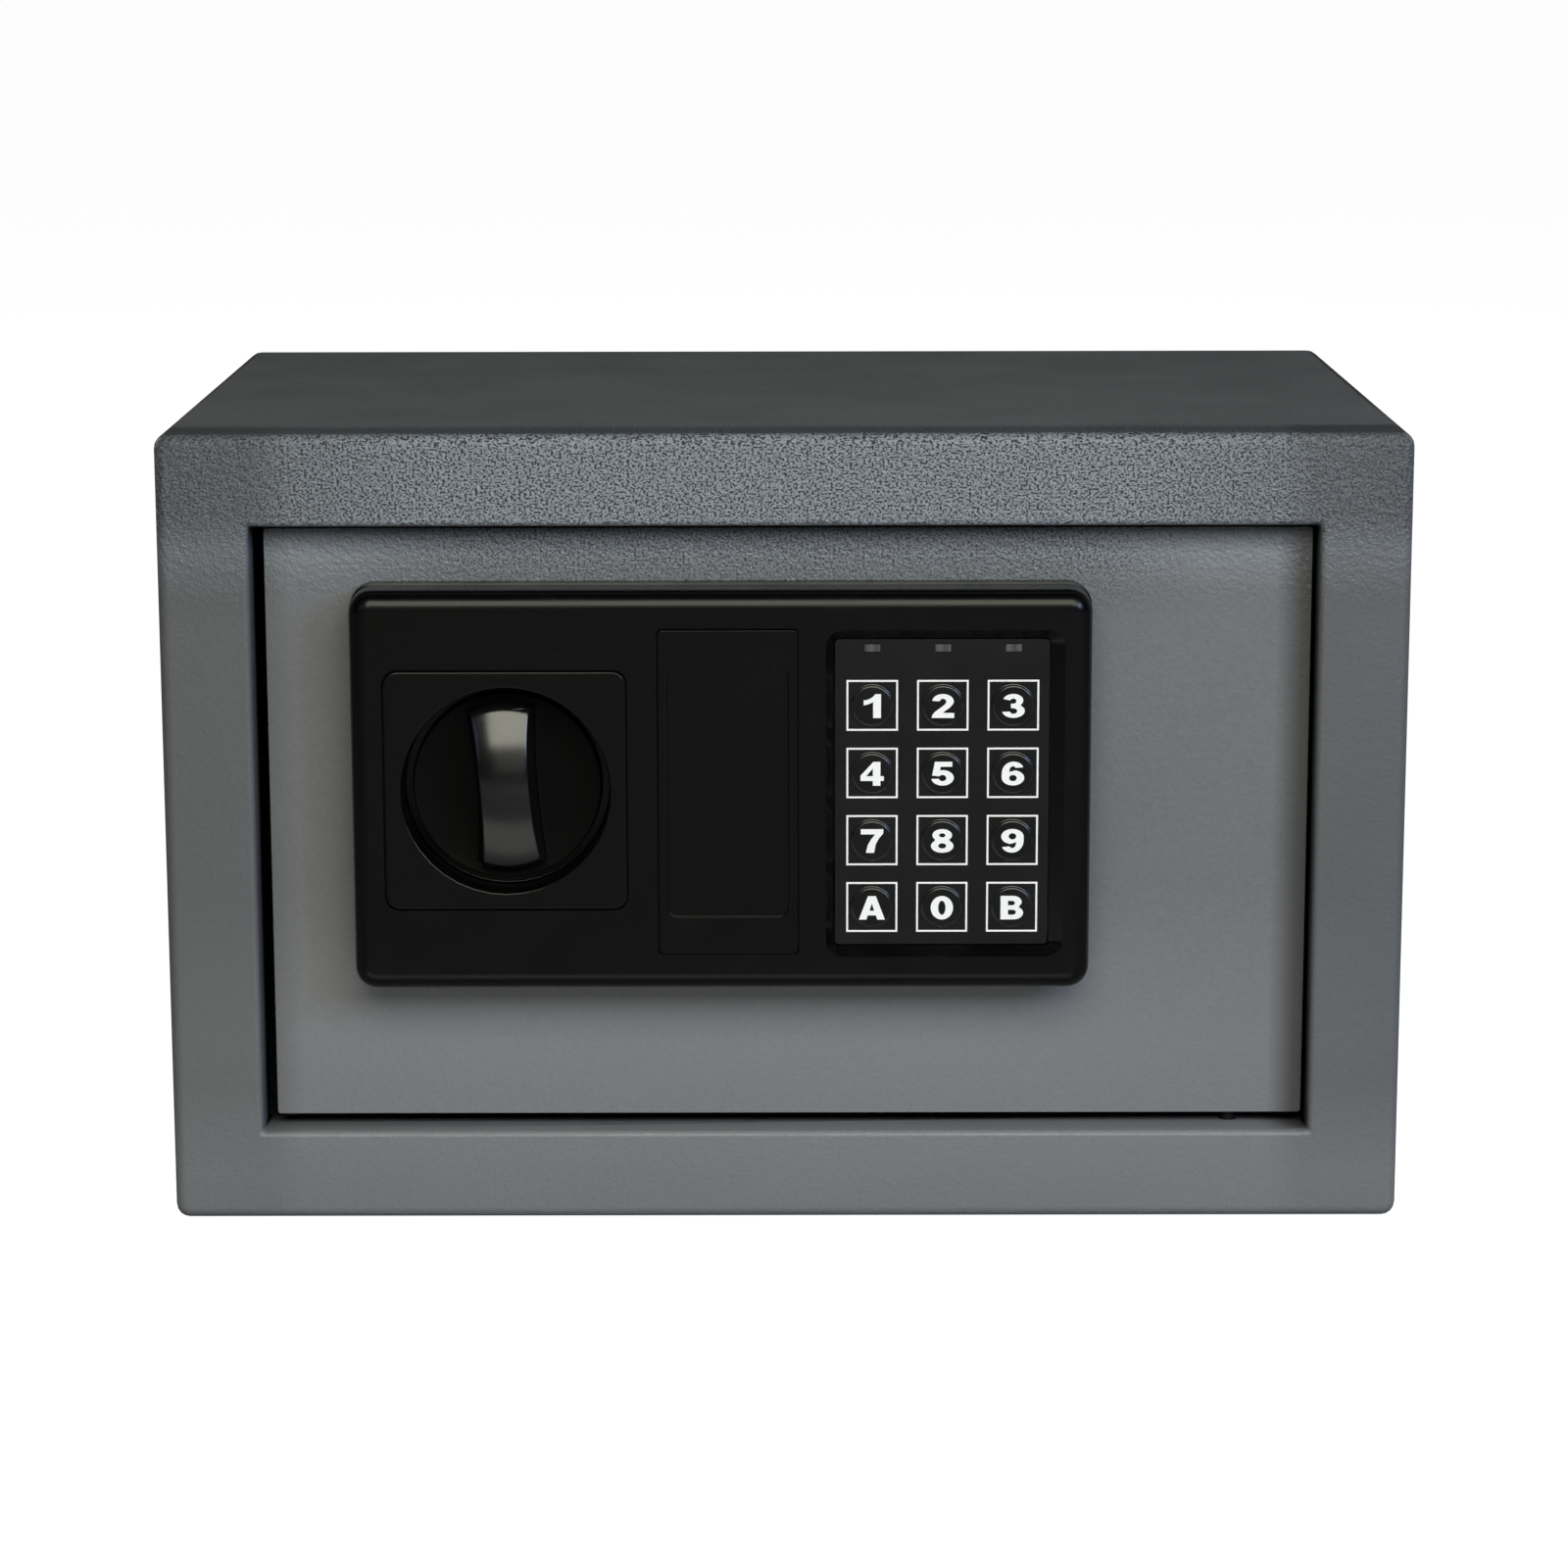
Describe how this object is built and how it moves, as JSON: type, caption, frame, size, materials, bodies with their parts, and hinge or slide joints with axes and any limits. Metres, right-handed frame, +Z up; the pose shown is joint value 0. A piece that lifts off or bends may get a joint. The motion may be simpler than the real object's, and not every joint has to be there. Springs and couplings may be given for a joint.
{
  "type": "in room safe",
  "caption": "Small hotel room safe with a grey steel case, recessed hinged door, turn knob, keypad and lift-off key cover.",
  "frame": {"origin": "centre of the case's underside", "axes": "+X to the right seen from the front, +Y towards the back, +Z up"},
  "size_m": [0.31, 0.2125, 0.2],
  "materials": {
    "case_paint": "grey powder coat, fine orange-peel texture",
    "bare_steel": "satin steel",
    "zinc": "zinc plated",
    "brass": "satin brass",
    "black_plastic": "satin moulded ABS",
    "gloss_plastic": "polished moulded ABS",
    "keypad_plastic": "matt overlay with white print",
    "lens": "smoked clear plastic",
    "circuit_board": "green solder mask",
    "carpet": "needle-felt carpet",
    "red_plastic": "red moulded plastic",
    "cell_wrap": "printed film, no marks",
    "copper": "enamelled copper winding",
    "rubber": "soft black rubber"
  },
  "bodies": {
    "case": {"case_shell": "case_paint", "back_panel": "case_paint", "floor_mat": "carpet", "hinge_lug_upper": "bare_steel", "hinge_lug_lower": "bare_steel"},
    "door": {"door_plate": "case_paint", "door_pan": "case_paint", "hinge_pin_upper": "bare_steel", "hinge_pin_lower": "bare_steel", "bolt_guide": "bare_steel", "inner_cover": "case_paint", "inner_cover_screw_1": "zinc", "inner_cover_screw_2": "zinc", "inner_cover_screw_3": "zinc", "inner_cover_screw_4": "zinc", "battery_tray": "black_plastic", "battery_1": "cell_wrap", "battery_2": "cell_wrap", "battery_3": "cell_wrap", "battery_4": "cell_wrap", "panel_housing": "black_plastic", "knob_escutcheon": "black_plastic", "keypad_plate": "keypad_plastic", "status_lens_1": "lens", "status_lens_2": "lens", "status_lens_3": "lens", "keypad_board": "circuit_board", "override_lock_body": "zinc", "override_lock_nut": "zinc", "solenoid_frame": "zinc", "solenoid_coil": "copper", "solenoid_lead": "rubber", "battery_lead": "rubber", "cable_grommet": "rubber", "reset_switch": "black_plastic"},
    "battery_cover": {"battery_cover": "black_plastic"},
    "reset_button": {"reset_button": "red_plastic"},
    "override_cover": {"override_cover": "black_plastic"},
    "override_plug": {"override_lock_plug": "brass", "override_cam": "zinc"},
    "knob": {"knob": "gloss_plastic", "knob_shaft": "bare_steel", "drive_cam": "zinc"},
    "bolt_work": {"bolt_bar": "bare_steel", "upper_bolt": "bare_steel", "lower_bolt": "bare_steel"},
    "blocking_pin": {"solenoid_pin": "bare_steel", "solenoid_spring": "bare_steel"},
    "key_1": {"key_1": "keypad_plastic"},
    "key_2": {"key_2": "keypad_plastic"},
    "key_3": {"key_3": "keypad_plastic"},
    "key_4": {"key_4": "keypad_plastic"},
    "key_5": {"key_5": "keypad_plastic"},
    "key_6": {"key_6": "keypad_plastic"},
    "key_7": {"key_7": "keypad_plastic"},
    "key_8": {"key_8": "keypad_plastic"},
    "key_9": {"key_9": "keypad_plastic"},
    "key_a": {"key_a": "keypad_plastic"},
    "key_0": {"key_0": "keypad_plastic"},
    "key_b": {"key_b": "keypad_plastic"}
  },
  "joints": [
    {"name": "door_swing", "type": "hinge", "parent": "case", "child": "door", "pos_m": [0.113, -0.0876, 0.1], "axis": [0, 0, 1], "range_deg": [0, 110]},
    {"name": "knob_turn", "type": "hinge", "parent": "door", "child": "knob", "pos_m": [-0.069, -0.1, 0.1127], "axis": [0, -1, 0], "range_deg": [0, 60]},
    {"name": "bolt_slide", "type": "slide", "parent": "door", "child": "bolt_work", "axis": [-1, 0, 0], "range_m": [0, 0.014]},
    {"name": "battery_cover_pull", "type": "slide", "parent": "door", "child": "battery_cover", "axis": [0, 1, 0], "range_m": [0, 0.03]},
    {"name": "override_cover_pull", "type": "slide", "parent": "door", "child": "override_cover", "axis": [0, -1, 0], "range_m": [0, 0.03]},
    {"name": "override_plug_turn", "type": "hinge", "parent": "door", "child": "override_plug", "pos_m": [-0.014, -0.1, 0.1122], "axis": [0, 1, 0], "range_deg": [0, 90]},
    {"name": "reset_button_press", "type": "slide", "parent": "door", "child": "reset_button", "axis": [0, -1, 0], "range_m": [0, 0.001], "stiffness_N_per_m": 400},
    {"name": "solenoid_release", "type": "slide", "parent": "door", "child": "blocking_pin", "axis": [0, 0, 1], "range_m": [0, 0.0045], "deforming": ["solenoid_spring"]},
    {"name": "press_1", "type": "slide", "parent": "door", "child": "key_1", "axis": [0, 1, 0], "range_m": [0, 0.0005], "stiffness_N_per_m": 400},
    {"name": "press_2", "type": "slide", "parent": "door", "child": "key_2", "axis": [0, 1, 0], "range_m": [0, 0.0005], "stiffness_N_per_m": 400},
    {"name": "press_3", "type": "slide", "parent": "door", "child": "key_3", "axis": [0, 1, 0], "range_m": [0, 0.0005], "stiffness_N_per_m": 400},
    {"name": "press_4", "type": "slide", "parent": "door", "child": "key_4", "axis": [0, 1, 0], "range_m": [0, 0.0005], "stiffness_N_per_m": 400},
    {"name": "press_5", "type": "slide", "parent": "door", "child": "key_5", "axis": [0, 1, 0], "range_m": [0, 0.0005], "stiffness_N_per_m": 400},
    {"name": "press_6", "type": "slide", "parent": "door", "child": "key_6", "axis": [0, 1, 0], "range_m": [0, 0.0005], "stiffness_N_per_m": 400},
    {"name": "press_7", "type": "slide", "parent": "door", "child": "key_7", "axis": [0, 1, 0], "range_m": [0, 0.0005], "stiffness_N_per_m": 400},
    {"name": "press_8", "type": "slide", "parent": "door", "child": "key_8", "axis": [0, 1, 0], "range_m": [0, 0.0005], "stiffness_N_per_m": 400},
    {"name": "press_9", "type": "slide", "parent": "door", "child": "key_9", "axis": [0, 1, 0], "range_m": [0, 0.0005], "stiffness_N_per_m": 400},
    {"name": "press_a", "type": "slide", "parent": "door", "child": "key_a", "axis": [0, 1, 0], "range_m": [0, 0.0005], "stiffness_N_per_m": 400},
    {"name": "press_0", "type": "slide", "parent": "door", "child": "key_0", "axis": [0, 1, 0], "range_m": [0, 0.0005], "stiffness_N_per_m": 400},
    {"name": "press_b", "type": "slide", "parent": "door", "child": "key_b", "axis": [0, 1, 0], "range_m": [0, 0.0005], "stiffness_N_per_m": 400}
  ],
  "couplings": [
    {"joint": "knob_turn", "follows": "bolt_slide", "rad_per_m": 74.8}
  ]
}
